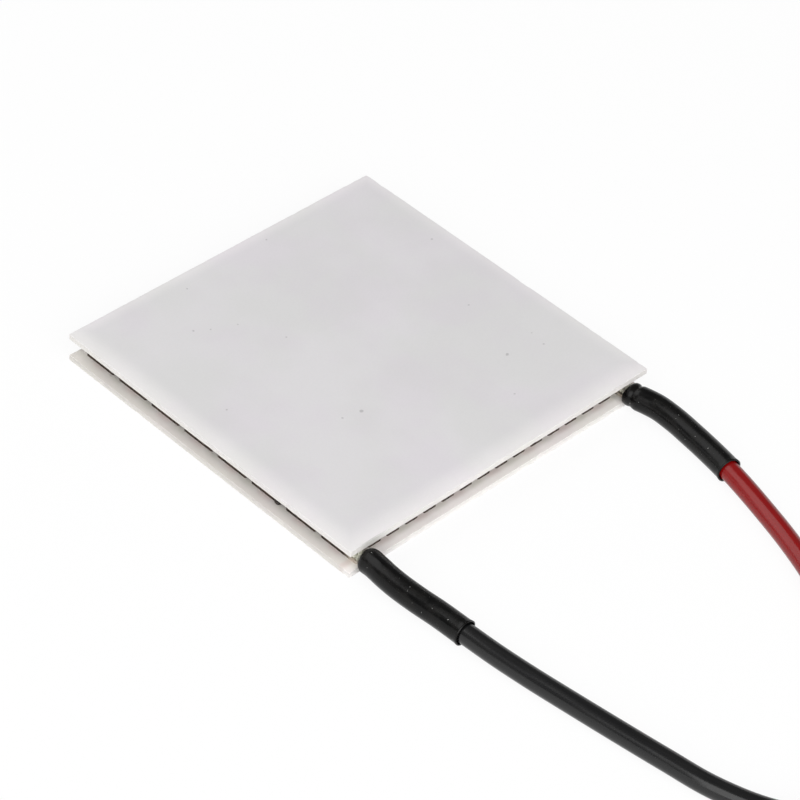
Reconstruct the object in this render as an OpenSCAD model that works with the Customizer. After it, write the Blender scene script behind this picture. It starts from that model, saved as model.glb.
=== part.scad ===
// Thermoelectric cooling module: two ceramic plates with a field of semiconductor
// pellets between them, joined in one series chain by copper tabs, and two leads.
// Millimetres, +Z up, origin at the centre of the hot plate's outer face.
// The leads leave at the -Y edge, the black one at the -X corner, the red one at +X.

/* [Plates] */
// Side of each square ceramic plate
plate_side = 40; // [37:0.5:48]
// Thickness of each ceramic plate
plate_t = 0.635; // [0.4:0.005:1.2]
// Bare margin between the plate's edge and the outer copper tabs
edge_margin = 1.2; // [0.8:0.1:1.6]

/* [Pellets] */
// How far the field of pellets sits off the plates' middle, along X
field_x = 0.1; // [-0.3:0.01:0.3]
// How far the field of pellets sits off the plates' middle, along Y
field_y = 0.08; // [-0.3:0.01:0.3]
// Side of the square section of each pellet
pellet_w = 1.4; // [1:0.05:1.5]
// Height of each pellet
pellet_h = 1.143; // [0.9:0.001:2.5]

/* [Tabs] */
// Thickness of the copper tabs
tab_t = 0.38; // [0.2:0.01:0.6]
// How far a tab reaches past its pellets on every side
tab_over = 0.1; // [0.06:0.01:0.15]
// Cut across each corner of a tab
tab_corner = 0.1; // [0.05:0.01:0.3]
// Gap between the plate's edge and the outer end of a terminal tab
terminal_gap = 0.4; // [0.2:0.05:0.7]
// Thickness of the solder bed between a tab and a pellet
solder_t = 0.0635; // [0.03:0.0005:0.12]
// How far a solder bed reaches past its pellet
solder_over = 0.05; // [0.01:0.01:0.05]

/* [Leads] */
// Length of each lead from the plate's edge to its tip
lead_len = 114.3; // [80:0.1:125]
// Diameter over the insulation
wire_od = 2.1; // [1.8:0.05:2.3]
// Diameter of the stranded conductor
core_od = 1.2; // [0.8:0.05:1.3]
// Bare tinned length at the far end
tip_len = 6; // [3:0.5:10]
// How far the conductor reaches in over its terminal tab
core_reach = 3; // [2.2:0.1:3.2]
// Bare length of conductor between the plate's edge and the insulation
neck_len = 1.5; // [1:0.1:2.5]
// Thickness of the solder over the conductor
joint_cover = 0.15; // [0.08:0.01:0.2]
// Length of the solder past the conductor's inner end
joint_past = 0.3; // [0.15:0.05:0.4]
// Bare copper between the solder and the tab's outer end
joint_gap = 0.1; // [0.05:0.05:0.4]
// Bare copper between the solder's foot and the tab's long edges
joint_side = 0.03; // [0.01:0.01:0.1]

/* [Sleeves] */
// Wall of the heat-shrink sleeves
sleeve_wall = 0.24; // [0.1:0.01:0.3]
// Length of the sleeve on the black lead
black_sleeve_len = 12.8; // [8:0.1:16]
// Length of the sleeve on the red lead
red_sleeve_len = 13.9; // [8:0.1:16]
// Gap between a sleeve's end and the plate's edge
sleeve_gap = 0.1; // [0.05:0.05:0.5]
// Length of the loose mouth of a sleeve
mouth_len = 1.2; // [0.6:0.1:3]
// Clearance between the lead and the lip of a sleeve's mouth
mouth_gap = 0.08; // [0.02:0.01:0.09]

/* [Hidden] */
columns = 16;                            // columns of pellets, and pellets in a column
chain = columns * columns;               // places in the chain, with the two terminals
tab_w = pellet_w + 2 * tab_over;
pitch = (plate_side - 2 * edge_margin - tab_w) / (columns - 1);
tab_len = pitch + tab_w;
hot_tab_z = plate_t;
pellet_z = hot_tab_z + tab_t + solder_t;
cold_tab_z = pellet_z + pellet_h + solder_t;
cold_plate_z = cold_tab_z + tab_t;
first = -(columns - 1) / 2 * pitch;      // centre of the first column and the first row

pairs = columns / 2;                     // the columns two by two
function tag(i) = str(i < 9 ? "0" : "", i + 1);

// --- the chain: up the first column, down the second, and so on ---

function column_of(k) = floor(k / columns);
function row_of(k) = column_of(k) % 2 == 0 ? k % columns : columns - 1 - k % columns;
function place(k) = [field_x + first + column_of(k) * pitch, field_y + first + row_of(k) * pitch];
// Places 0 and chain - 1 hold the leads. Every other one holds a pellet.
function holds_pellet(k) = k > 0 && k < chain - 1;
function in_column(c) = [c * columns : (c + 1) * columns - 1];
function in_pair(m) = [2 * m * columns : 2 * (m + 1) * columns - 1];

// --- plates ---

module plate() {
    color("whitesmoke") linear_extrude(plate_t) square(plate_side, center = true);
}

module hot_plate() { plate(); }

module cold_plate() { translate([0, 0, cold_plate_z]) plate(); }

// --- pellets ---

// The pellets of one column whose place in the chain is odd (p) or even (n).
module pellets(c, odd) {
    color(odd == 1 ? "dimgray" : "slategray")
        for (k = in_column(c))
            if (holds_pellet(k) && k % 2 == odd)
                translate([place(k)[0], place(k)[1], pellet_z])
                    linear_extrude(pellet_h) square(pellet_w, center = true);
}

// --- copper tabs ---

// Outline of a tab that runs from one x to another, with its corners cut.
module tab_outline(from, to) {
    y = tab_w / 2;
    cut = tab_corner;
    polygon([[to, cut - y], [to, y - cut], [to - cut, y], [from + cut, y],
             [from, y - cut], [from, cut - y], [from + cut, -y], [to - cut, -y]]);
}

// A tab between places k and k + 1. bed_side is 1 with the solder beds on top and -1
// with them below, base is the height of its lower face, and outward is how much
// longer it is at the end that faces -Y.
module tab(k, base, bed_side, outward = 0) {
    a = place(k);
    b = place(k + 1);
    bed_base = bed_side > 0 ? base + tab_t : base - solder_t;
    translate([(a[0] + b[0]) / 2, (a[1] + b[1]) / 2, base])
        rotate([0, 0, abs(b[0] - a[0]) > pitch / 2 ? 0 : 90])
            linear_extrude(tab_t) tab_outline(-tab_len / 2 - outward, tab_len / 2);
    for (end = [k, k + 1])
        if (holds_pellet(end))
            translate([place(end)[0], place(end)[1], bed_base])
                linear_extrude(solder_t) square(pellet_w + 2 * solder_over, center = true);
}

// Tabs on the hot plate start at the even places, those under the cold plate at the odd.
module hot_tabs(m) {
    color("peru")
        for (k = in_pair(m))
            if (k % 2 == 0 && holds_pellet(k) && holds_pellet(k + 1))
                tab(k, hot_tab_z, 1);
}

module cold_tabs(m) {
    color("peru")
        for (k = in_pair(m))
            if (k % 2 == 1 && k < chain - 1)
                tab(k, cold_tab_z, -1);
}

// A terminal tab runs on past its empty place, to take the lead.
field_end = place(0)[1] - tab_w / 2;
terminal_end = min(terminal_gap - plate_side / 2, field_end);
module terminal_tab(k) { color("peru") tab(k, hot_tab_z, 1, field_end - terminal_end); }

// --- leads ---

core_z = hot_tab_z + tab_t + core_od / 2 * cos(22.5);  // a flat of the conductor lies on the tab
floor_z = wire_od / 2;                   // height of the centre where a lead lies flat
sides = 8;                               // faces round a conductor or a lead
sleeve_sides = 16;

// A lead's route: [x from its terminal, y from the plate's edge, share of the drop].
black_way = [[0, core_reach, 0], [0, 0.4, 0], [-0.07, -0.8, 0], [-0.33, -2.5, 0.06], [-0.4, -4.5, 0.17],
             [-0.25, -7, 0.35], [0.03, -9.7, 0.5], [0.18, -13, 0.57], [0.45, -16.5, 0.8], [0.9, -20.5, 1],
             [1.45, -25, 1], [2.1, -30, 1], [2.8, -35, 1], [3.6, -40, 1], [5.4, -45, 1],
             [8.7, -49.6, 1], [13.2, -53, 1], [18.5, -55, 1], [24, -56, 1], [30, -56.3, 1]];
red_way = [[0, core_reach, 0], [-0.12, 1, 0], [-0.25, 0.4, 0], [-0.33, -0.6, 0.15], [-0.1, -1.7, 0.22],
           [0.2, -3.3, 0.28], [0.2, -5.5, 0.43], [-0.08, -8, 0.52], [-0.5, -10.8, 0.57],
           [-1.1, -13.8, 0.57], [-1.7, -16.5, 0.8], [-2.5, -19.5, 1], [-3.6, -23, 1],
           [-5.1, -27, 1], [-6.9, -31, 1], [-8.8, -35, 1], [-10.6, -39, 1]];
// Both leads end in one flat coil: its centre, and the first radius and angles of each.
coil_centre = [18, -63];
coil_step = 2.4;                         // what a turn's radius loses, a little over a lead
red_coil = [11.5, 180, 630];
black_coil = [13.8, 270, 450];
coil_turn = 24;                          // degrees between two points of the coil

function coil_points(coil, z) =
    [for (a = [coil[1] : coil_turn : coil[2]])
        let (r = coil[0] - coil_step * (a - 180) / 360)
        [coil_centre[0] + r * cos(a), coil_centre[1] + r * sin(a), z]];

function route(way, terminal_x, coil) = concat(
    [for (p = way) [terminal_x + p[0], p[1] - plate_side / 2, core_z + (floor_z - core_z) * p[2]]],
    coil_points(coil, floor_z));

black_route = route(black_way, place(0)[0], black_coil);
red_route = route(red_way, place(chain - 1)[0], red_coil);

// Lengths along a route, from its start to each of its points.
function marks(points, i = 0, sum = 0) =
    i == len(points) - 1 ? [sum]
    : concat([sum], marks(points, i + 1, sum + norm(points[i + 1] - points[i])));

function level(v) = [v[0], v[1], 0] / norm([v[0], v[1]]);
function across(v) = [-v[1], v[0], 0];

// The segment of a route that holds the length s.
function segment(ms, s) = max([for (i = [0 : len(ms) - 2]) if (ms[i] <= s) i]);

// A station is [centre, sideways unit vector, stretch of a mitred section].
function cut_station(points, ms, s) =
    let (i = segment(ms, s), way = points[i + 1] - points[i])
    [points[i] + way * (s - ms[i]) / norm(way), across(level(way)), 1];
function corner_station(points, i) =
    let (a = level(points[i] - points[i - 1]), b = level(points[i + 1] - points[i]),
         mean = (a + b) / norm(a + b))
    [points[i], across(mean), 1 / (mean * a)];
function is_corner(ms, s) =
    len([for (i = [1 : len(ms) - 2]) if (abs(ms[i] - s) < 0.001) i]) > 0;
function corner_at(ms, s) = [for (i = [1 : len(ms) - 2]) if (abs(ms[i] - s) < 0.001) i][0];
function station(points, ms, s) =
    is_corner(ms, s) ? corner_station(points, corner_at(ms, s)) : cut_station(points, ms, s);

function ring(st, r, n) =
    [for (i = [0 : n - 1])
        let (a = 360 * (i + 0.5) / n)
        st[0] + st[1] * (r * cos(a) * st[2]) + [0, 0, r * sin(a)]];

// A rod along a route. profile is a list of [length along the route, radius]. The rings
// stand at the route's corners and at the profile's own lengths, apart from any that is
// within a hair of a corner.
hair = 0.05;
function near(values, s) = len([for (v = values) if (abs(v - s) < hair) v]) > 0;
function sorted(v) =
    len(v) < 2 ? v
    : let (mid = v[floor(len(v) / 2)])
      concat(sorted([for (s = v) if (s < mid) s]), [mid], sorted([for (s = v) if (s > mid) s]));

module rod(points, profile, n) {
    ms = marks(points);
    start = profile[0][0];
    end = profile[len(profile) - 1][0];
    corners = [for (m = ms) if (m > start + hair && m < end - hair) m];
    lengths = sorted(concat(corners, [for (p = profile) if (!near(corners, p[0])) p[0]]));
    rings = [for (s = lengths) ring(station(points, ms, s), lookup(s, profile), n)];
    last = len(rings) - 1;
    polyhedron(
        points = [for (r = rings) for (p = r) p],
        faces = concat(
            [[for (i = [0 : n - 1]) i]],
            [for (j = [0 : last - 1]) for (i = [0 : n - 1])
                [j * n + i, (j + 1) * n + i, (j + 1) * n + (i + 1) % n, j * n + (i + 1) % n]],
            [[for (i = [n - 1 : -1 : 0]) last * n + i]]),
        convexity = 10);
}

// Lengths along a lead's route: at the plate's edge, at both ends of the insulation and
// at the conductor's tip. A bore runs past both ends of what it is cut from.
edge = core_reach;
insulation_start = edge + neck_len;
insulation_end = edge + lead_len - tip_len;
tip = edge + lead_len;
past = 1;
// The outer form of each sleeve near the plate: [length from its end, share of its radius].
black_nose = [[0, 0.8], [0.15, 0.93], [0.45, 1]];
red_nose = [[0, 0.86], [0.12, 0.96], [0.4, 0.97], [0.62, 0.92], [0.75, 0.84], [0.95, 0.88], [1.2, 1]];

module conductor(points) {
    color("silver") rod(points, [[0, core_od / 2], [tip, core_od / 2]], sides);
}

module insulation(points, colour) {
    color(colour) difference() {
        rod(points, [[insulation_start, wire_od / 2], [insulation_end, wire_od / 2]], sides);
        rod(points, [[insulation_start - past, core_od / 2], [insulation_end + past, core_od / 2]], sides);
    }
}

// A sleeve shrunk over a lead. Inside, it grips the bare conductor and then the lead,
// and its mouth stands a little open.
module sleeve(points, nose, length) {
    start = edge + sleeve_gap;
    end = start + length;
    body_r = wire_od / 2 + sleeve_wall;
    color("black") difference() {
        rod(points, concat([for (p = nose) [start + p[0], p[1] * body_r]], [[end, body_r]]), sleeve_sides);
        rod(points, [[start - past, core_od / 2], [insulation_start + past, core_od / 2]], sides);
        rod(points, [[insulation_start, wire_od / 2], [end + past, wire_od / 2]], sides);
        rod(points, [[end - mouth_len, wire_od / 2 - hair], [end, wire_od / 2 + mouth_gap],
                     [end + past, wire_od / 2 + mouth_gap]], sleeve_sides);
    }
}

// Solder round a conductor's end on its terminal tab: a mound with sloping ends.
module solder_joint(points) {
    shell = core_od / 2 + joint_cover;
    foot = tab_w / 2 - joint_side;
    foot_z = hot_tab_z + tab_t;
    outer = terminal_end + joint_gap;
    inner = -plate_side / 2 + core_reach + joint_past;
    top = core_z + shell;
    color("lightsteelblue") difference() {
        intersection() {
            translate([points[0][0], inner, 0])
                rotate([90, 0, 0])
                    linear_extrude(inner - outer)
                        intersection() {
                            translate([-foot, foot_z]) square([2 * foot, top - foot_z]);
                            union() {
                                translate([0, core_z]) circle(r = shell, $fn = 48);
                                polygon([[-foot, foot_z], [foot, foot_z],
                                         [shell * cos(30), core_z + shell / 2],
                                         [-shell * cos(30), core_z + shell / 2]]);
                            }
                        }
            translate([points[0][0] - foot, 0, 0])
                rotate([90, 0, 90])
                    linear_extrude(2 * foot)
                        polygon([[outer, foot_z], [inner, foot_z],
                                 [inner - joint_past / 2, top], [outer + joint_past, top]]);
        }
        rod(points, [[0, core_od / 2], [edge + past, core_od / 2]], sides);
    }
}

hot_plate();
cold_plate();
for (c = [0 : columns - 1]) {
    pellets(c, 1);
    pellets(c, 0);
}
for (m = [0 : pairs - 1]) {
    hot_tabs(m);
    cold_tabs(m);
}
terminal_tab(0);  // black_terminal_tab
terminal_tab(chain - 2);  // red_terminal_tab
solder_joint(black_route);  // black_solder_joint
solder_joint(red_route);  // red_solder_joint
conductor(black_route);  // black_conductor
conductor(red_route);  // red_conductor
insulation(black_route, "black");  // black_insulation
insulation(red_route, "firebrick");  // red_insulation
sleeve(black_route, black_nose, black_sleeve_len);  // black_sleeve
sleeve(red_route, red_nose, red_sleeve_len);  // red_sleeve
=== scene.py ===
"""Looks of a thermoelectric cooling module: two alumina plates with a field of pellets
between them, joined in one chain by copper tabs, and two leads in shrunk sleeves."""

import bisect
import math
import random

import bmesh
import bpy
from mathutils import Matrix, Vector, noise


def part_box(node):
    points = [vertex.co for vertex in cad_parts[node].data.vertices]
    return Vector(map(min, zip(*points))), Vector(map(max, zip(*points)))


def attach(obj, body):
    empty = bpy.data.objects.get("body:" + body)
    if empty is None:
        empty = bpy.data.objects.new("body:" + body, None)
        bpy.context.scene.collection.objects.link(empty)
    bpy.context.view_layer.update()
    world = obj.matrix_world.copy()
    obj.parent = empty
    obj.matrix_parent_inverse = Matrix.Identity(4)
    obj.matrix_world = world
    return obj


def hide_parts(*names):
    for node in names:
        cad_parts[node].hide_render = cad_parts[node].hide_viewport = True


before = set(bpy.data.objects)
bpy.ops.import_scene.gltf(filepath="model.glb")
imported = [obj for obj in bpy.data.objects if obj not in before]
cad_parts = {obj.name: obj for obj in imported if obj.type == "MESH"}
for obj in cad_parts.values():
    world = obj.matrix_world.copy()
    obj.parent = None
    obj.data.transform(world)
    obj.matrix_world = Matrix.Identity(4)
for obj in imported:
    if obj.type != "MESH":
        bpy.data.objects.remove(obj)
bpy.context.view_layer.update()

MM = 0.001
TINY = 1e-6                                       # a micrometre, for tests of where a point is
BODY = "root"
draw = random.Random(7)                           # for the strands' uneven ends

# --- sizes taken from the frame, in metres ---

hot_low, hot_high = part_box("hot_plate")
cold_low, cold_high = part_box("cold_plate")
pellet_low, pellet_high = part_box("p_pellets_01")
black_tab_low, black_tab_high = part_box("black_terminal_tab")
red_tab_low, red_tab_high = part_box("red_terminal_tab")
half = hot_high.x                                 # from the middle to a plate's edge
field_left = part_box("hot_tabs_01")[0].x           # the copper field's edge on the -X side
cold_tab_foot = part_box("cold_tabs_01")[0].z       # the lowest face of a tab under the cold plate
black_x = (black_tab_low.x + black_tab_high.x) / 2
red_x = (red_tab_low.x + red_tab_high.x) / 2
COLUMNS = 16                                      # places for pellets along each side
tab_w = red_tab_high.x - red_tab_low.x
pitch = (red_tab_high.x - field_left - tab_w) / (COLUMNS - 1)

# The same sizes as the leads and sleeves have in the part's source.
CORE_REACH = 3 * MM                               # conductor in over its terminal tab
NECK = 1.5 * MM                                   # bare conductor outside the plate's edge
LEAD = 114.3 * MM                                 # from the plate's edge to the tip
TIP = 6 * MM                                      # bare tinned end
WIRE_R = 1.05 * MM                                # outside of the insulation
CORE_R = 0.6 * MM                                 # outside of the conductor
CORE_SIDES = 8                                    # faces round the source's conductor
SLEEVE_R = 1.29 * MM
SLEEVE_GAP = 0.1 * MM                             # between a sleeve and the plates
LIP = 0.05 * MM                                   # flare at a sleeve's mouth
SOLDER_T = 0.0635 * MM                            # solder between a tab and its pellets
insulation_start = CORE_REACH + NECK
insulation_end = CORE_REACH + LEAD - TIP
tip_end = CORE_REACH + LEAD


# --- camera ---

def add_camera():
    """The viewing angle: over the corner between the -X and -Y sides."""
    azimuth, elevation, roll = (math.radians(a) for a in (-47.196, 41.311, 4.841))
    target = Vector((0, 0, cold_high.z / 2))
    # The camera's place from its target, along its own right, up and back.
    aside, above, distance = 4.110 * MM, -3.505 * MM, 328.577 * MM
    back = Vector((math.sin(azimuth) * math.cos(elevation),
                   -math.cos(azimuth) * math.cos(elevation), math.sin(elevation)))
    level = Vector((math.cos(azimuth), math.sin(azimuth), 0))
    upright = back.cross(level)
    right = math.cos(roll) * level + math.sin(roll) * upright
    up = math.cos(roll) * upright - math.sin(roll) * level
    lens = bpy.data.cameras.new("camera")
    lens.lens = 150.943
    lens.sensor_width = 36
    camera = bpy.data.objects.new("camera", lens)
    place = Matrix((right, up, back)).transposed().to_4x4()
    place.translation = target + aside * right + above * up + distance * back
    camera.matrix_world = place
    bpy.context.scene.collection.objects.link(camera)
    bpy.context.scene.camera = camera


# --- routes of the leads ---

hot_copper_z = pellet_low.z - SOLDER_T            # the top of the hot plate's tabs
core_z = hot_copper_z + CORE_R * math.cos(math.pi / CORE_SIDES)     # a conductor on its tab
floor_z = WIRE_R                                  # a lead on the table
ROUTE_STEP = 0.5 * MM                             # between points along a route

# In millimetres, X from the terminal and Y from the plate's edge, and the share of the drop
# from the terminal's height to the table.
BLACK_WAY = [[0, 3, 0], [0, 0.4, 0], [-0.07, -0.8, 0], [-0.33, -2.5, 0.06], [-0.4, -4.5, 0.17],
             [-0.25, -7, 0.35], [0.03, -9.7, 0.5], [0.18, -13, 0.57], [0.45, -16.5, 0.8], [0.9, -20.5, 1],
             [1.45, -25, 1], [2.1, -30, 1], [2.8, -35, 1], [3.6, -40, 1], [5.4, -45, 1],
             [8.7, -49.6, 1], [13.2, -53, 1], [18.5, -55, 1], [24, -56, 1], [30, -56.3, 1]]
RED_WAY = [[0, 3, 0], [-0.12, 1, 0], [-0.25, 0.4, 0], [-0.33, -0.6, 0.15], [-0.1, -1.7, 0.22],
           [0.2, -3.3, 0.28], [0.2, -5.5, 0.43], [-0.08, -8, 0.52], [-0.5, -10.8, 0.57],
           [-1.1, -13.8, 0.57], [-1.7, -16.5, 0.8], [-2.5, -19.5, 1], [-3.6, -23, 1],
           [-5.1, -27, 1], [-6.9, -31, 1], [-8.8, -35, 1], [-10.6, -39, 1]]
# Both leads end in one flat coil: its radius at 180 degrees, its first and its last angle.
BLACK_COIL = [13.8 * MM, 270, 450]
RED_COIL = [11.5 * MM, 180, 630]
COIL_CENTRE = Vector((18 * MM, -63 * MM, 0))
COIL_STEP = 2.4 * MM                              # radius lost in each turn
COIL_TURN = 24                                    # degrees from one point to the next


def coil_points(coil):
    """Points of a flat spiral that winds inwards."""
    half_turn_radius, start, end = coil
    points = []
    for angle in range(start, end + 1, COIL_TURN):
        radius = half_turn_radius - COIL_STEP * (angle - 180) / 360
        turn = math.radians(angle)
        points.append(COIL_CENTRE + Vector((radius * math.cos(turn), radius * math.sin(turn), floor_z)))
    return points


def way_points(way, start_x):
    """A lead's own points, from its terminal to the coil."""
    return [Vector((start_x + x * MM, y * MM - half, core_z + (floor_z - core_z) * drop))
            for x, y, drop in way]


def spaced(start, end, step=ROUTE_STEP):
    """Lengths from start to end, evenly spaced and no further apart than step."""
    parts = math.ceil((end - start) / step)
    return [start + (end - start) * i / parts for i in range(parts + 1)]


def smooth(points):
    """A dense path on one smooth curve through the points (centripetal Catmull-Rom)."""
    ends = [2 * points[0] - points[1]] + points + [2 * points[-1] - points[-2]]
    path = [points[0]]
    for p0, p1, p2, p3 in zip(ends, ends[1:], ends[2:], ends[3:]):
        t1 = (p1 - p0).length ** 0.5
        t2 = t1 + (p2 - p1).length ** 0.5
        t3 = t2 + (p3 - p2).length ** 0.5
        parts = max(1, math.ceil((p2 - p1).length / ROUTE_STEP))
        for i in range(1, parts + 1):
            t = t1 + (t2 - t1) * i / parts
            a1 = p0.lerp(p1, t / t1)
            a2 = p1.lerp(p2, (t - t1) / (t2 - t1))
            a3 = p2.lerp(p3, (t - t2) / (t3 - t2))
            b1 = a1.lerp(a2, t / t2)
            b2 = a2.lerp(a3, (t - t1) / (t3 - t1))
            path.append(b1.lerp(b2, (t - t1) / (t2 - t1)))
    return path


class Route:
    """A smooth path that can be asked for its place and frame at any length along it."""

    def __init__(self, points):
        self.path = smooth(points)
        self.marks = [0]
        for a, b in zip(self.path, self.path[1:]):
            self.marks.append(self.marks[-1] + (b - a).length)

    def point(self, s):
        """The point at length s, on a straight run past either end."""
        last = len(self.marks) - 2
        i = min(max(bisect.bisect_right(self.marks, s) - 1, 0), last)
        a, b = self.path[i], self.path[i + 1]
        return a + (b - a) * (s - self.marks[i]) / (self.marks[i + 1] - self.marks[i])

    def frame(self, s):
        """A matrix that carries a section in XY, with Y up, to length s."""
        reach = 0.4 * MM      # the direction is taken between two points this far off
        along = (self.point(s + reach) - self.point(s - reach)).normalized()
        side = Vector((0, 0, 1)).cross(along).normalized()
        turned = Matrix((side, along.cross(side), along)).transposed().to_4x4()
        turned.translation = self.point(s)
        return turned

    def stretch(self, start, end):
        """Points from one length to another."""
        return [self.point(s) for s in spaced(start, end)]


black_route = Route(way_points(BLACK_WAY, black_x) + coil_points(BLACK_COIL))
red_route = Route(way_points(RED_WAY, red_x) + coil_points(RED_COIL))


# --- meshes ---

def finish_piece(bm, name, material, replaced=()):
    """Makes a bmesh one of the object's pieces."""
    mesh = bpy.data.meshes.new(name)
    bm.to_mesh(mesh)
    bm.free()
    mesh.materials.append(material)
    piece = bpy.data.objects.new(name, mesh)
    bpy.context.scene.collection.objects.link(piece)
    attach(piece, BODY)
    if replaced:
        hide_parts(*replaced)
    return piece


def next_ring(bm, ring, edges):
    """Extrudes a ring's edges. The new ring keeps the order of the one it came from."""
    grown = bmesh.ops.extrude_edge_only(bm, edges=edges)["geom"]
    old = set(ring)
    above = {}
    for v in (g for g in grown if isinstance(g, bmesh.types.BMVert)):
        for e in v.link_edges:
            if e.other_vert(v) in old:
                above[e.other_vert(v)] = v
    new_edges = [g for g in grown if isinstance(g, bmesh.types.BMEdge) and old.isdisjoint(g.verts)]
    return [above[v] for v in ring], new_edges


def sweep(bm, route, outline, sides, closed=False, offset=(0, 0), twist=0.0):
    """Rings of an outline of (length, radius) pairs along a route, skinned in that order.

    closed joins the last ring to the first, and otherwise both ends are filled. offset
    moves the rings' centre in the section, turned by twist radians a metre. Each point keeps
    its place across, up and along the route in the layer called skin."""
    skin = bm.verts.layers.float_vector.new("skin")
    ring = bmesh.ops.create_circle(bm, segments=sides, radius=1)["verts"]
    unit = [v.co.copy() for v in ring]
    first_edges = list(dict.fromkeys(e for v in ring for e in v.link_edges))
    edges = first_edges
    for i, (s, radius) in enumerate(outline):
        if i > 0:
            ring, edges = next_ring(bm, ring, edges)
        turned = Matrix.Rotation(twist * s, 4, "Z") @ Matrix.Translation((*offset, 0))
        place = route.frame(s) @ turned
        for v, corner in zip(ring, unit):
            v.co = place @ (corner * radius)
            v[skin] = (corner.x * radius, corner.y * radius, s)
    if closed:
        bmesh.ops.bridge_loops(bm, edges=first_edges + edges)
    else:
        bmesh.ops.edgeloop_fill(bm, edges=first_edges)
        bmesh.ops.edgeloop_fill(bm, edges=edges)


def add_swept(bundle, route, outline, sides, offset, twist):
    """Adds one swept strand to a bundle. Made apart, as a sweep is slow in a large mesh."""
    bm = bmesh.new()
    sweep(bm, route, outline, sides, offset=offset, twist=twist)
    mesh = bpy.data.meshes.new("strand")
    bm.to_mesh(mesh)
    bm.free()
    bundle.from_mesh(mesh)
    bpy.data.meshes.remove(mesh)


def close_up(bm):
    """Outward faces and smooth shading, once all of a piece is in place."""
    bmesh.ops.recalc_face_normals(bm, faces=bm.faces)
    for face in bm.faces:
        face.smooth = True


def keep_above(bm, height):
    """Flattens a piece where it would reach below what it lies on."""
    for v in bm.verts:
        v.co.z = max(v.co.z, height)


def eased(pairs, s):
    """A value read from (length, value) pairs, with smooth steps between them."""
    if s <= pairs[0][0]:
        return pairs[0][1]
    for (s0, v0), (s1, v1) in zip(pairs, pairs[1:]):
        if s <= s1:
            t = (s - s0) / (s1 - s0)
            return v0 + (v1 - v0) * t * t * (3 - 2 * t)
    return pairs[-1][1]


# --- materials ---

class Finish:
    """A material with one Principled shader, and short calls for its nodes."""

    def __init__(self, name, roughness, metallic=0.0, ior=1.5):
        self.material = bpy.data.materials.new(name)
        self.material.use_nodes = True
        self.tree = self.material.node_tree
        self.shader = self.tree.nodes["Principled BSDF"]
        self.shader.inputs["Roughness"].default_value = roughness
        self.shader.inputs["Metallic"].default_value = metallic
        self.shader.inputs["IOR"].default_value = ior

    def link(self, source, target):
        """Links a socket, or sets the target to a plain value."""
        if isinstance(source, bpy.types.NodeSocket):
            self.tree.links.new(source, target)
        else:
            target.default_value = source

    def link_colour(self, source, target):
        """Links a colour's socket, or sets a colour of red, green and blue."""
        self.link(source if isinstance(source, bpy.types.NodeSocket) else (*source, 1), target)

    def node(self, kind, inputs=(), **settings):
        made = self.tree.nodes.new(kind)
        for key, value in settings.items():
            setattr(made, key, value)
        for socket, value in dict(inputs).items():
            self.link(value, made.inputs[socket])
        return made

    def place(self):
        """Object coordinates, in metres."""
        return self.node("ShaderNodeTexCoord").outputs["Object"]

    def skin(self):
        """A swept piece's own coordinates: across, up and along, in metres."""
        return self.node("ShaderNodeAttribute", attribute_name="skin").outputs["Vector"]

    def axis(self, vector, letter):
        """One of a vector's parts, by its letter."""
        return self.node("ShaderNodeSeparateXYZ", {"Vector": vector}).outputs[letter]

    def math(self, operation, a, b=0.0):
        made = self.node("ShaderNodeMath", operation=operation)
        self.link(a, made.inputs[0])
        self.link(b, made.inputs[1])
        return made.outputs[0]

    def scaled(self, vector, x, y, z):
        """Coordinates stretched along their axes. A small scale makes a long pattern."""
        return self.node("ShaderNodeMapping", {"Vector": vector, "Scale": (x, y, z)}).outputs[0]

    def noise(self, vector, size, detail=2.0, rough=0.5):
        """Noise with features of about that size in metres, from 0 to 1."""
        inputs = {"Vector": vector, "Scale": 1 / size, "Detail": detail, "Roughness": rough}
        return self.node("ShaderNodeTexNoise", inputs).outputs["Fac"]

    def remap(self, value, low, high, to_low=0.0, to_high=1.0):
        """A smooth step from to_low to to_high, as the value goes from low to high."""
        inputs = {"Value": value, "From Min": low, "From Max": high,
                  "To Min": to_low, "To Max": to_high}
        return self.node("ShaderNodeMapRange", inputs, interpolation_type="SMOOTHSTEP").outputs[0]

    def mix(self, factor, a, b, mode="MIX"):
        """Colour a where the factor is 0, and b where it is 1."""
        made = self.node("ShaderNodeMix", data_type="RGBA", blend_type=mode)
        self.link(factor, made.inputs["Factor"])
        self.link_colour(a, made.inputs[6])
        self.link_colour(b, made.inputs[7])
        return made.outputs[2]

    def colour(self, value):
        self.link_colour(value, self.shader.inputs["Base Color"])

    def roughness(self, value):
        self.link(value, self.shader.inputs["Roughness"])

    def distance(self, a, b):
        return self.node("ShaderNodeVectorMath", {0: a, 1: b}, operation="DISTANCE").outputs["Value"]

    def bump(self, height, strength, distance):
        made = self.node("ShaderNodeBump", {"Height": height, "Strength": strength, "Distance": distance})
        self.tree.links.new(made.outputs["Normal"], self.shader.inputs["Normal"])


def from_edge(f, place, side):
    """Distance in from one edge of a plate, with side as -X, +X, -Y or +Y."""
    along = f.axis(place, side[1])
    return f.math("SUBTRACT", half, along) if side[0] == "+" else f.math("ADD", half, along)
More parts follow.
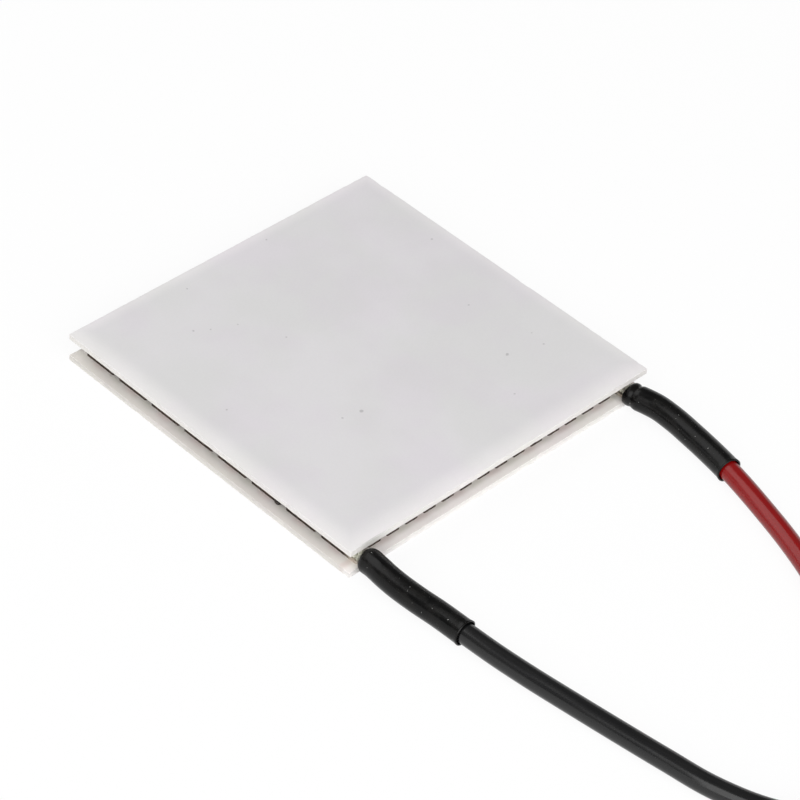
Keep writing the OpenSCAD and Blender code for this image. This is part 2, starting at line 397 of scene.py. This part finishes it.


# Painted light at the rim: ceramic with no copper behind it is painted paler near its edges, for the light
# that comes through it there, and most on the sides that face the lamps. Each side has the width of its
# pale band, and the band's strength at the edge.
COLD_RIM_LIGHT = [("-X", 2.6 * MM, 0.85), ("-Y", 2.8 * MM, 0.85), ("+X", 1.6 * MM, 0.4), ("+Y", 1.6 * MM, 0.5)]
HOT_RIM_LIGHT = [("-X", 5 * MM, 0.72), ("-Y", 4 * MM, 0.95), ("+X", 3 * MM, 0.5), ("+Y", 3 * MM, 0.5)]
ALUMINA = (0.706, 0.692, 0.703)
ALUMINA_LIT_RIM = (0.852, 0.828, 0.828)
# Painted light: the side faces' tone, paler than the top because the lamps light the sides more.
ALUMINA_LIT_SIDE = (0.76, 0.735, 0.712)
HOT_ALUMINA_LIT_RIM = (0.98, 0.936, 0.905)

# Dark specks in the outer face: x, y and size in millimetres.
SPECKS = [(-10.35, 12.65, 0.16), (-8.9, 11.75, 0.14), (-6.35, 10.6, 0.14), (-15.6, 1.9, 0.17),
          (-4, 6.15, 0.15), (-7.9, -6.05, 0.14), (-5.85, -6.5, 0.34), (10.9, -9.65, 0.3),
          (14.8, -10.85, 0.17), (15.1, -8.9, 0.13), (7.3, -14.25, 0.15), (13.3, -1.85, 0.16),
          (17.8, 8, 0.15), (4.75, 18.65, 0.17), (-6.6, 17.9, 0.14)]


def alumina_colour(f, place, top, bands, lit_rim_tone):
    """Fired alumina: cool grey-white with faint clouds. Painted light makes its top face paler towards the
    rim and gives its side faces a paler tone.
    """
    rim = None
    # Painted light: a band along each edge paints the ceramic paler there.
    for side, width, strength in bands:
        share = f.remap(from_edge(f, place, side), 0, width, strength, 0)
        rim = share if rim is None else f.math("MAXIMUM", rim, share)
    base = f.mix(rim, ALUMINA, lit_rim_tone)
    # Painted light: the side faces take their own paler tone.
    is_side = f.remap(f.axis(place, "Z"), top - 0.035 * MM, top - 0.003 * MM, 1, 0)
    base = f.mix(is_side, base, ALUMINA_LIT_SIDE)
    clouds = f.noise(place, 9 * MM, 3)
    base = f.mix(f.remap(clouds, 0.35, 0.65, 0, 0.5), base, (0.93, 0.95, 0.92), "MULTIPLY")
    violet = f.noise(f.scaled(place, 1, -1, 1), 6 * MM, 2)
    base = f.mix(f.remap(violet, 0.4, 0.7, 0, 0.45), base, (0.98, 0.94, 0.99), "MULTIPLY")
    grain = f.noise(place, 0.25 * MM, 4, 0.6)
    return f.mix(f.remap(grain, 0.3, 0.7, 0, 0.25), base, (0.94, 0.94, 0.94), "MULTIPLY")


def ceramic_skin(f, place, smoothest, roughest):
    """The matt, finely grained surface of both plates."""
    f.shader.inputs["Specular IOR Level"].default_value = 0.35
    f.roughness(f.remap(f.noise(place, 1.5 * MM, 3), 0.3, 0.7, smoothest, roughest))
    f.bump(f.noise(place, 0.12 * MM, 5, 0.65), 0.12, 0.02 * MM)


def ragged_spot(f, away, wobble, reach, strength):
    """A spot of that strength that fades between two distances, made ragged by the wobble."""
    return f.remap(f.math("ADD", away, wobble), reach[0], reach[1], strength, 0)


def cold_ceramic():
    """The upper plate's alumina, with its specks and a painted shade beside the black sleeve."""
    f = Finish("cold_ceramic", 0.52)
    place = f.place()
    colour = alumina_colour(f, place, cold_high.z, COLD_RIM_LIGHT, ALUMINA_LIT_RIM)
    wobble = f.noise(place, 0.2 * MM)
    for x, y, size in SPECKS:
        away = f.distance(place, (x * MM, y * MM, cold_high.z))
        reach = ((size / 2 + 0.08) * MM, (size / 2 + 0.2) * MM)
        speck = ragged_spot(f, away, f.math("MULTIPLY", wobble, 0.25 * MM), reach, 0.55)
        colour = f.mix(speck, colour, (0.33, 0.32, 0.33))
    # Painted shade on the -Y edge over the black lead's joint, where the black sleeve darkens the plate's
    # side.
    away = f.distance(place, (black_x + 0.6 * MM, -half, cold_low.z))
    sleeve_shade = ragged_spot(f, away, f.math("MULTIPLY", wobble, 0.6 * MM), (0.4 * MM, 2.5 * MM), 0.6)
    on_side = f.remap(from_edge(f, place, "-Y"), 0.06 * MM, 0.2 * MM, 1, 0)
    colour = f.mix(f.math("MULTIPLY", sleeve_shade, on_side), colour, (0.36, 0.36, 0.33))
    f.colour(colour)
    ceramic_skin(f, place, 0.46, 0.58)
    return f.material


def hot_ceramic():
    """The lower plate's alumina. Its bare margin is painted with pink light reflected from the tabs and
    grey-green shade between them.
    """
    f = Finish("hot_ceramic", 0.5)
    place = f.place()
    colour = alumina_colour(f, place, hot_high.z, HOT_RIM_LIGHT, HOT_ALUMINA_LIT_RIM)
    height = f.axis(place, "Z")
    # Painted light: the plate's sides are painted paler towards the table, for light thrown up from the
    # floor.
    above_table = f.math("GREATER_THAN", height, 0.02 * MM)
    floor_bounce_light = f.math("MULTIPLY", f.remap(height, 0, hot_high.z - 0.05 * MM, 0.4, 0), above_table)
    colour = f.mix(floor_bounce_light, colour, (0.97, 0.95, 0.93))
    # Painted shade: the whole plate is darkened, apart from a strip along its -Y edge, for the shade beside
    # the copper under the upper plate.
    shade_beside_copper = f.remap(from_edge(f, place, "-Y"), 0.55 * MM, 1.15 * MM)
    colour = f.mix(shade_beside_copper, colour, (0.84, 0.83, 0.81), "MULTIPLY")
    # Painted reflection and shade: along each margin, pink light from the copper comes round every second
    # place, at this many places from the middle, with grey-green shade between.
    for side, along, pink_place in (("-X", "Y", -7), ("-Y", "X", -6)):
        run = f.math("SUBTRACT", f.axis(place, along), pink_place * pitch)
        wave = f.math("COSINE", f.math("MULTIPLY", run, math.pi / pitch))
        inwards = from_edge(f, place, side)
        outer = f.remap(inwards, 0.4 * MM, 1.2 * MM)
        inner = f.remap(inwards, 1.6 * MM, 1.3 * MM)
        beside = f.math("MULTIPLY", outer, inner)
        pink_reflection = f.math("MULTIPLY", f.remap(wave, 0, 1, 0, 0.6), beside)
        grey_green_shade = f.math("MULTIPLY", f.remap(wave, 0, -1, 0, 0.5), beside)
        # Painted reflected light in pink, then painted shade in grey-green.
        colour = f.mix(pink_reflection, colour, (0.96, 0.86, 0.86), "MULTIPLY")
        colour = f.mix(grey_green_shade, colour, (0.9, 0.92, 0.86), "MULTIPLY")
    f.colour(colour)
    ceramic_skin(f, place, 0.44, 0.56)
    return f.material


def tab_copper(name, solder_from, solder_to, tinned_end=False):
    """Darkened copper, with solder between the two heights. A terminal tab's outer end is tinned."""
    f = Finish(name, 0.45, metallic=1.0)
    place = f.place()
    tarnish = f.remap(f.noise(place, 0.6 * MM, 4, 0.6), 0.35, 0.7)
    copper = f.mix(tarnish, (0.15, 0.11, 0.095), (0.055, 0.044, 0.04))
    if tinned_end:
        tin = f.mix(tarnish, (0.8, 0.75, 0.68), (0.5, 0.44, 0.38))
        copper = f.mix(f.remap(from_edge(f, place, "-Y"), 1.1 * MM, 2.2 * MM, 1, 0), copper, tin)
    height = f.axis(place, "Z")
    above = f.math("GREATER_THAN", height, solder_from)
    below = f.math("LESS_THAN", height, solder_to)
    is_solder = f.math("MULTIPLY", above, below)
    f.colour(f.mix(is_solder, copper, (0.42, 0.42, 0.43)))
    f.roughness(f.remap(f.noise(place, 0.3 * MM, 3), 0.3, 0.7, 0.38, 0.6))
    f.bump(f.noise(place, 0.15 * MM, 3), 0.25, 0.02 * MM)
    return f.material


def pellet_finish(name, dark, pale):
    """Cut bismuth telluride: grey, with cleavage streaks that run up the pellet."""
    f = Finish(name, 0.4, metallic=0.85)
    place = f.place()
    streaks = f.noise(f.scaled(place, 1, 1, 0.18), 0.11 * MM, 4, 0.6)
    f.colour(f.mix(f.remap(streaks, 0.3, 0.7), dark, pale))
    f.roughness(f.remap(streaks, 0.3, 0.7, 0.32, 0.55))
    f.bump(streaks, 0.35, 0.02 * MM)
    return f.material


def solder_finish():
    """Dull tin solder, with cream flux that has set on its outer end and dark spots in it."""
    f = Finish("solder", 0.4)
    place = f.place()
    grain = f.noise(place, 0.2 * MM, 4, 0.6)
    metal = f.mix(f.remap(grain, 0.3, 0.7), (0.4, 0.4, 0.38), (0.58, 0.57, 0.54))
    patches = f.noise(place, 0.5 * MM, 3, 0.6)
    outward = f.remap(f.axis(place, "Y"), -half + 2 * MM, -half + 0.6 * MM, -0.15, 0.25)
    flux = f.remap(f.math("ADD", patches, outward), 0.5, 0.62)
    cream = f.mix(f.remap(grain, 0.35, 0.65), (0.66, 0.65, 0.55), (0.46, 0.46, 0.37))
    spots = f.noise(place, 0.28 * MM, 2)
    cream = f.mix(f.remap(spots, 0.58, 0.66, 0, 0.9), cream, (0.05, 0.06, 0.04))
    f.colour(f.mix(flux, metal, cream))
    f.link(f.math("SUBTRACT", 1.0, flux), f.shader.inputs["Metallic"])
    f.roughness(f.remap(grain, 0.3, 0.7, 0.3, 0.5))
    f.bump(f.noise(place, 0.35 * MM, 2), 0.4, 0.05 * MM)
    return f.material


def burnt_flux():
    """Flux that has charred to a dark brown glaze."""
    f = Finish("burnt_flux", 0.45)
    char = f.noise(f.place(), 0.2 * MM)
    f.colour(f.mix(char, (0.008, 0.005, 0.004), (0.026, 0.016, 0.01)))
    return f.material


def strand_finish():
    """Tinned copper strands."""
    f = Finish("tinned_strands", 0.3, metallic=1.0)
    skin = f.skin()
    wear = f.noise(f.scaled(skin, 1, 1, 0.2), 0.15 * MM, 3)
    f.colour(f.mix(f.remap(wear, 0.3, 0.75), (0.66, 0.65, 0.62), (0.5, 0.46, 0.42)))
    f.roughness(f.remap(wear, 0.3, 0.7, 0.25, 0.42))
    return f.material


def lead_plastic(name, main, shade, roughness, gloss):
    """Extruded insulation: a smooth skin with faint lengthwise draw marks."""
    f = Finish(name, roughness)
    f.shader.inputs["Specular IOR Level"].default_value = gloss
    skin = f.skin()
    draws = f.noise(f.scaled(skin, 1, 1, 0.05), 0.35 * MM, 3)
    f.colour(f.mix(f.remap(draws, 0.3, 0.7), main, shade))
    f.roughness(f.remap(draws, 0.3, 0.7, roughness - 0.01, roughness + 0.03))
    f.bump(f.noise(skin, 0.5 * MM, 3), 0.05, 0.05 * MM)
    return f.material


def sleeve_finish():
    """Shrunk polyolefin: satin black, with a little dust caught in its skin."""
    f = Finish("shrink_sleeve", 0.24, ior=1.45)
    f.shader.inputs["Specular IOR Level"].default_value = 0.27
    skin = f.skin()
    mottle = f.noise(f.scaled(skin, 1, 1, 0.4), 0.6 * MM, 4, 0.6)
    colour = f.mix(f.remap(mottle, 0.35, 0.7), (0.002, 0.002, 0.002), (0.005, 0.0045, 0.004))
    dust = f.noise(skin, 0.2 * MM, 1)
    colour = f.mix(f.remap(dust, 0.77, 0.795, 0, 0.8), colour, (0.5, 0.5, 0.48))
    f.colour(colour)
    f.roughness(f.remap(mottle, 0.3, 0.7, 0.18, 0.31))
    f.bump(f.noise(f.scaled(skin, 1, 1, 0.5), 0.4 * MM, 4, 0.6), 0.2, 0.08 * MM)
    return f.material


# --- plates ---

def jitter(point, size, seed):
    """Smooth noise from -1 to 1 at a point, with features of that size."""
    return noise.noise(point / size + Vector((seed, 0, 0)))


# How the edge of a snapped plate differs from a straight one.
EDGE_CUTS = 119                                   # extra points along each edge
NICK_WIDTH, NICK_DEPTH = 0.9 * MM, 0.24 * MM
GRIT_WIDTH, GRIT_DEPTH = 0.35 * MM, 0.02 * MM
WORN_EDGE = 0.03 * MM                             # bevel along all edges
CORNER_ANGLE = 1.2                                # radians, past which an edge is bevelled


def ceramic_plate(name, low, high, material, node, seed):
    """A plate cut by scribing and snapping: straight sides with small nicks."""
    bm = bmesh.new()
    centre = (low + high) / 2
    to_size = Matrix.Translation(centre) @ Matrix.Diagonal((*(high - low), 1))
    bmesh.ops.create_cube(bm, size=1, matrix=to_size)
    rims = [e for e in bm.edges if abs(e.verts[0].co.z - e.verts[1].co.z) < TINY]
    bmesh.ops.subdivide_edges(bm, edges=rims, cuts=EDGE_CUTS)
    for level in (0.3, 0.65):
        z = low.z + (high.z - low.z) * level
        bmesh.ops.bisect_plane(bm, geom=bm.verts[:] + bm.edges[:] + bm.faces[:], dist=TINY / 10,
                               plane_co=(0, 0, z), plane_no=(0, 0, 1))
    for v in bm.verts:
        nick = max(0.0, jitter(v.co, NICK_WIDTH, seed) - 0.3) * NICK_DEPTH
        inset = nick + (0.5 + 0.5 * jitter(v.co, GRIT_WIDTH, seed + 9)) * GRIT_DEPTH
        v.co.x -= math.copysign(inset, v.co.x) if abs(abs(v.co.x) - half) < TINY else 0
        v.co.y -= math.copysign(inset, v.co.y) if abs(abs(v.co.y) - half) < TINY else 0
    edges = [e for e in bm.edges if len(e.link_faces) == 2 and e.calc_face_angle() > CORNER_ANGLE]
    bmesh.ops.bevel(bm, geom=edges, offset=WORN_EDGE, segments=2, profile=0.5, affect="EDGES", material=-1)
    bmesh.ops.recalc_face_normals(bm, faces=bm.faces)
    return finish_piece(bm, name, material, [node])


# --- leads ---

WIRE_SIDES = 32
SLEEVE_SIDES = 40
CORE_FIT = 0.02 * MM                              # from a sleeve's end to the conductor
SLEEVE_GRIP = 0.005 * MM                          # from a sleeve's bore to the insulation


def insulation(name, route, material, node):
    """The lead's round insulation, with a core hole that the strands fill."""
    start, end = insulation_start, insulation_end
    hole = 1 * MM         # how far the core hole is made
    rim = 0.06 * MM       # bevel round a cut end
    outline = [(start + hole, CORE_R), (start, CORE_R), (start, WIRE_R - rim), (start + rim, WIRE_R)]
    outline += [(s, WIRE_R) for s in spaced(start, end)[1:-1]]
    outline += [(end - rim, WIRE_R), (end, WIRE_R - rim), (end, CORE_R), (end - hole, CORE_R)]
    bm = bmesh.new()
    sweep(bm, route, outline, WIRE_SIDES)
    keep_above(bm, 0)
    close_up(bm)
    return finish_piece(bm, name, material, [node])


# The conductor's layers: strands in the layer, and its radius in strand diameters.
STRAND_LAYERS = [(1, 0), (6, 1), (12, 1.94)]
STRAND_R = CORE_R / 5
STRAND_SIDES = 6
LAY_LENGTH = 11 * MM                              # the strands go once round in this


def strands(name, route, material, node):
    """The conductor: one strand, six round it and twelve round those, twisted together."""
    bundle = bmesh.new()
    for count, layer in STRAND_LAYERS:
        away = 2 * STRAND_R * layer
        for i in range(count):
            angle = 2 * math.pi * i / count
            short = draw.uniform(0, 0.12 * MM)
            outline = [(s, STRAND_R) for s in spaced(short, tip_end - short, 0.6 * MM)]
            offset = (away * math.cos(angle), away * math.sin(angle))
            add_swept(bundle, route, outline, STRAND_SIDES, offset, 2 * math.pi / LAY_LENGTH)
    close_up(bundle)
    return finish_piece(bundle, name, material, [node])


class Cover:
    """What differs between the two sleeves: their length, their nose and their mouth.

    slack is the gap round the lead at the mouth. lean is how far the nose is pushed aside
    where it meets the plates. nose is a list of pairs, millimetres from its end and share of
    the full radius."""

    def __init__(self, length, slack, lean, nose):
        self.length = length
        self.slack = slack
        self.lean = lean
        self.nose = nose


BLACK_COVER = Cover(length=12.8 * MM, slack=0.17 * MM, lean=Vector((-0.11, 0, -0.12)) * MM,
                    nose=[(0, 0.8), (0.08, 0.88), (0.35, 0.98), (0.6, 1.02), (1.5, 1)])
RED_COVER = Cover(length=13.9 * MM, slack=0.12 * MM, lean=Vector((0, 0, -0.06)) * MM,
                  nose=[(0, 0.92), (0.07, 0.97), (0.42, 0.97), (0.62, 0.92), (0.74, 0.88), (0.9, 0.93),
                        (1.15, 1)])


def sleeve_outline(cover, start, end):
    """From the nose along the outside to the mouth, and back along the bore."""
    wall = SLEEVE_R - WIRE_R
    loose = 1.2 * MM      # how far in the mouth stands off the insulation
    flare = [(end - 0.5 * MM, 0), (end, LIP)]
    nose = [(start + s * MM, share * SLEEVE_R) for s, share in cover.nose]
    outside = [(s, eased(nose, s) + eased(flare, s)) for s in spaced(start, end, 0.15 * MM)]
    mouth_r = outside[-1][1]
    mouth = [(end - 0.03 * MM, mouth_r), (end, mouth_r - wall / 2), (end - 0.04 * MM, WIRE_R + cover.slack)]
    rings = len(outside) - 1
    bore_step = (end - loose - insulation_start) / rings
    bore = [(end - loose - bore_step * i, WIRE_R + SLEEVE_GRIP) for i in range(rings)]
    front = [(start, CORE_R + CORE_FIT), (start, nose[0][1] - 0.08 * MM)]
    step = [(insulation_start, CORE_R + CORE_FIT)]
    return front + outside[:-1] + mouth + bore + step


def sleeve(name, route, material, node, cover):
    """A sleeve shrunk over the joint of a lead, gripping it all the way to a loose mouth."""
    start = CORE_REACH + SLEEVE_GAP
    straight = start + 2.4 * MM      # past here the sleeve follows its lead
    bm = bmesh.new()
    sweep(bm, route, sleeve_outline(cover, start, start + cover.length), SLEEVE_SIDES, closed=True)
    skin = bm.verts.layers.float_vector["skin"]
    for v in bm.verts:
        across, up, along = v[skin]
        outward = (math.hypot(across, up) - CORE_R) / (SLEEVE_R - CORE_R)
        v.co += cover.lean * outward * eased([(start, 1), (straight, 0)], along)
    keep_above(bm, 0)
    close_up(bm)
    return finish_piece(bm, name, material, [node])


def blob(bm, centre, reach, seed):
    """Adds a lumpy ball with those half axes."""
    ball = bmesh.ops.create_icosphere(bm, subdivisions=5, radius=1)["verts"]
    for v in ball:
        lump = 1 + 0.09 * jitter(v.co, 0.7, seed) + 0.03 * jitter(v.co, 0.25, seed)
        v.co = centre + v.co * reach * lump


SOLDER_REACH = Vector((0.72, 1.45, 0.86)) * MM
BLOB_LIFT = 0.002 * MM                            # a blob's flat foot over what it stands on
# Lumps of flux at a joint's outer end, in millimetres: aside, in from the edge, up and size.
FLUX_LUMPS = [(-0.5, 0.5, -0.25, 0.3), (-0.3, 0.42, 0.25, 0.34), (0.35, 0.5, -0.1, 0.3),
              (-0.75, 0.75, 0.05, 0.26)]


def solder_mound(colour, x, tin, seed):
    """Solder heaped over a conductor's end, with flux pushed out at its outer end."""
    bm = bmesh.new()
    blob(bm, Vector((x, -half + 1.9 * MM, core_z - 0.1 * MM)), SOLDER_REACH, seed)
    for aside, inwards, up, size in FLUX_LUMPS:
        centre = Vector((x + aside * MM, -half + inwards * MM, core_z + up * MM))
        blob(bm, centre, Vector((1, 0.8, 1.2)) * size * MM, seed + inwards)
    keep_above(bm, hot_copper_z + BLOB_LIFT)
    close_up(bm)
    return finish_piece(bm, f"{colour}_solder_mound", tin, [f"{colour}_solder_joint"])


def flux_drop(material):
    """A drop of burnt flux against the side of a tab on the -X side."""
    bm = bmesh.new()
    centre = Vector((field_left - 0.05 * MM, -half + 11.2 * MM, hot_high.z + 0.15 * MM))
    blob(bm, centre, Vector((0.17, 0.34, 0.22)) * MM, 4)
    keep_above(bm, hot_high.z + BLOB_LIFT)
    close_up(bm)
    return finish_piece(bm, "flux_drop", material)


def add_lead(colour, route, plastic, metal, shrink, cover):
    """One lead with its conductor and its sleeve."""
    wire = insulation(f"{colour}_lead", route, plastic, f"{colour}_insulation")
    core = strands(f"{colour}_strands", route, metal, f"{colour}_conductor")
    shrunk = sleeve(f"{colour}_shrink_sleeve", route, shrink, f"{colour}_sleeve", cover)
    route.point(insulation_start)
    route.stretch(insulation_start, insulation_end)


# --- studio ---

def floor_finish():
    """White paper that keeps a faint shadow and reads as white where it is only seen."""
    f = Finish("white_sweep", 0.9)
    f.colour((0.93, 0.93, 0.93))
    f.shader.inputs["Specular IOR Level"].default_value = 0.0
    rays = f.node("ShaderNodeLightPath").outputs
    seen = f.math("MAXIMUM", rays["Is Camera Ray"], rays["Is Glossy Ray"])
    seen = f.math("MAXIMUM", seen, rays["Is Transmission Ray"])
    glow = f.node("ShaderNodeEmission", {"Color": (1, 1, 1, 1), "Strength": 1.0})
    blend = f.node("ShaderNodeMixShader", {0: f.math("MULTIPLY", seen, 0.9)})
    f.tree.links.new(f.shader.outputs[0], blend.inputs[1])
    f.tree.links.new(glow.outputs[0], blend.inputs[2])
    f.tree.links.new(blend.outputs[0], f.tree.nodes["Material Output"].inputs["Surface"])
    return f.material


def add_floor():
    """A white sweep: a round floor that turns up into a low wall."""
    bm = bmesh.new()
    radius, turn, wall = 2.6, 0.5, 0.9
    turn_steps = 8
    profile = [(0.01, 0), (0.3, 0), (1.2, 0), (radius - turn, 0)]
    for i in range(1, turn_steps + 1):
        angle = math.pi / 2 * i / turn_steps
        profile.append((radius - turn + turn * math.sin(angle), turn - turn * math.cos(angle)))
    profile.append((radius, wall))
    verts = [bm.verts.new((r, 0, z)) for r, z in profile]
    edges = [bm.edges.new(pair) for pair in zip(verts, verts[1:])]
    bmesh.ops.spin(bm, geom=verts + edges, cent=(0, 0, 0), axis=(0, 0, 1), angle=2 * math.pi,
                   steps=64, use_merge=True, use_duplicate=False)
    bmesh.ops.holes_fill(bm, edges=[e for e in bm.edges if e.is_boundary and e.verts[0].co.length < 0.1])
    for face in bm.faces:
        face.smooth = True
    bmesh.ops.recalc_face_normals(bm, faces=bm.faces)
    bmesh.ops.reverse_faces(bm, faces=bm.faces)
    mesh = bpy.data.meshes.new("sweep_floor")
    bm.to_mesh(mesh)
    bm.free()
    mesh.materials.append(floor_finish())
    floor = bpy.data.objects.new("sweep_floor", mesh)
    bpy.context.scene.collection.objects.link(floor)


def add_lamp(name, azimuth, elevation, distance, size, share):
    """A square softbox aimed at the middle, with its angles in degrees and sizes in metres.

    share is what it adds to a white surface that faces it."""
    lamp = bpy.data.lights.new(name, "AREA")
    lamp.shape = "SQUARE"
    lamp.size = size
    lamp.energy = share * math.pi ** 2 * distance ** 2
    turn, lift = math.radians(azimuth), math.radians(elevation)
    away = Vector((math.cos(turn) * math.cos(lift), math.sin(turn) * math.cos(lift), math.sin(lift)))
    box = bpy.data.objects.new(name, lamp)
    box.location = away * distance
    box.rotation_euler = away.to_track_quat("Z", "Y").to_euler()
    bpy.context.scene.collection.objects.link(box)


def add_light():
    """Plain soft light: a dim even surround and three softboxes."""
    world = bpy.data.worlds.new("surround")
    world.use_nodes = True
    background = world.node_tree.nodes["Background"]
    background.inputs["Color"].default_value = (1, 1, 1, 1)
    background.inputs["Strength"].default_value = 0.2
    bpy.context.scene.world = world
    add_lamp("key", azimuth=205, elevation=40, distance=0.75, size=0.7, share=0.57)
    add_lamp("fill", azimuth=255, elevation=32, distance=0.8, size=0.7, share=0.77)
    add_lamp("back", azimuth=105, elevation=42, distance=0.75, size=0.65, share=0.38)


# --- the module ---

def dress_nodes():
    """Finishes for the nodes whose shape is right as it is."""
    on_hot = (hot_copper_z + TINY, pellet_low.z + 10 * TINY)
    on_cold = (pellet_high.z - 10 * TINY, cold_tab_foot + SOLDER_T - TINY)
    terminal_copper = tab_copper("terminal_copper", *on_hot, tinned_end=True)
    finishes = {
        "hot_tabs": tab_copper("hot_tab_copper", *on_hot),
        "cold_tabs": tab_copper("cold_tab_copper", *on_cold),
        "black_terminal": terminal_copper,
        "red_terminal": terminal_copper,
        "p_pellets": pellet_finish("p_pellet", (0.13, 0.13, 0.135), (0.3, 0.3, 0.31)),
        "n_pellets": pellet_finish("n_pellet", (0.16, 0.155, 0.15), (0.36, 0.35, 0.34)),
    }
    for name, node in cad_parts.items():
        for start, material in finishes.items():
            if name.startswith(start):
                node.data.materials.clear()
                node.data.materials.append(material)


bpy.context.scene.view_settings.view_transform = "Standard"
add_camera()

black_pvc = lead_plastic("black_pvc", (0.004, 0.004, 0.0045), (0.007, 0.007, 0.007), 0.2, 0.5)
red_pvc = lead_plastic("red_pvc", (0.24, 0.004, 0.004), (0.215, 0.0035, 0.004), 0.18, 0.38)
strand_metal = strand_finish()
shrink = sleeve_finish()
add_lead("black", black_route, black_pvc, strand_metal, shrink, BLACK_COVER)
add_lead("red", red_route, red_pvc, strand_metal, shrink, RED_COVER)

solder = solder_finish()
solder_mound("black", black_x, solder, 1)
solder_mound("red", red_x, solder, 2)
flux_drop(burnt_flux())

ceramic_plate("ceramic_cold_plate", cold_low, cold_high, cold_ceramic(), "cold_plate", 3)
ceramic_plate("ceramic_hot_plate", hot_low, hot_high, hot_ceramic(), "hot_plate", 5)
dress_nodes()

add_floor()
add_light()
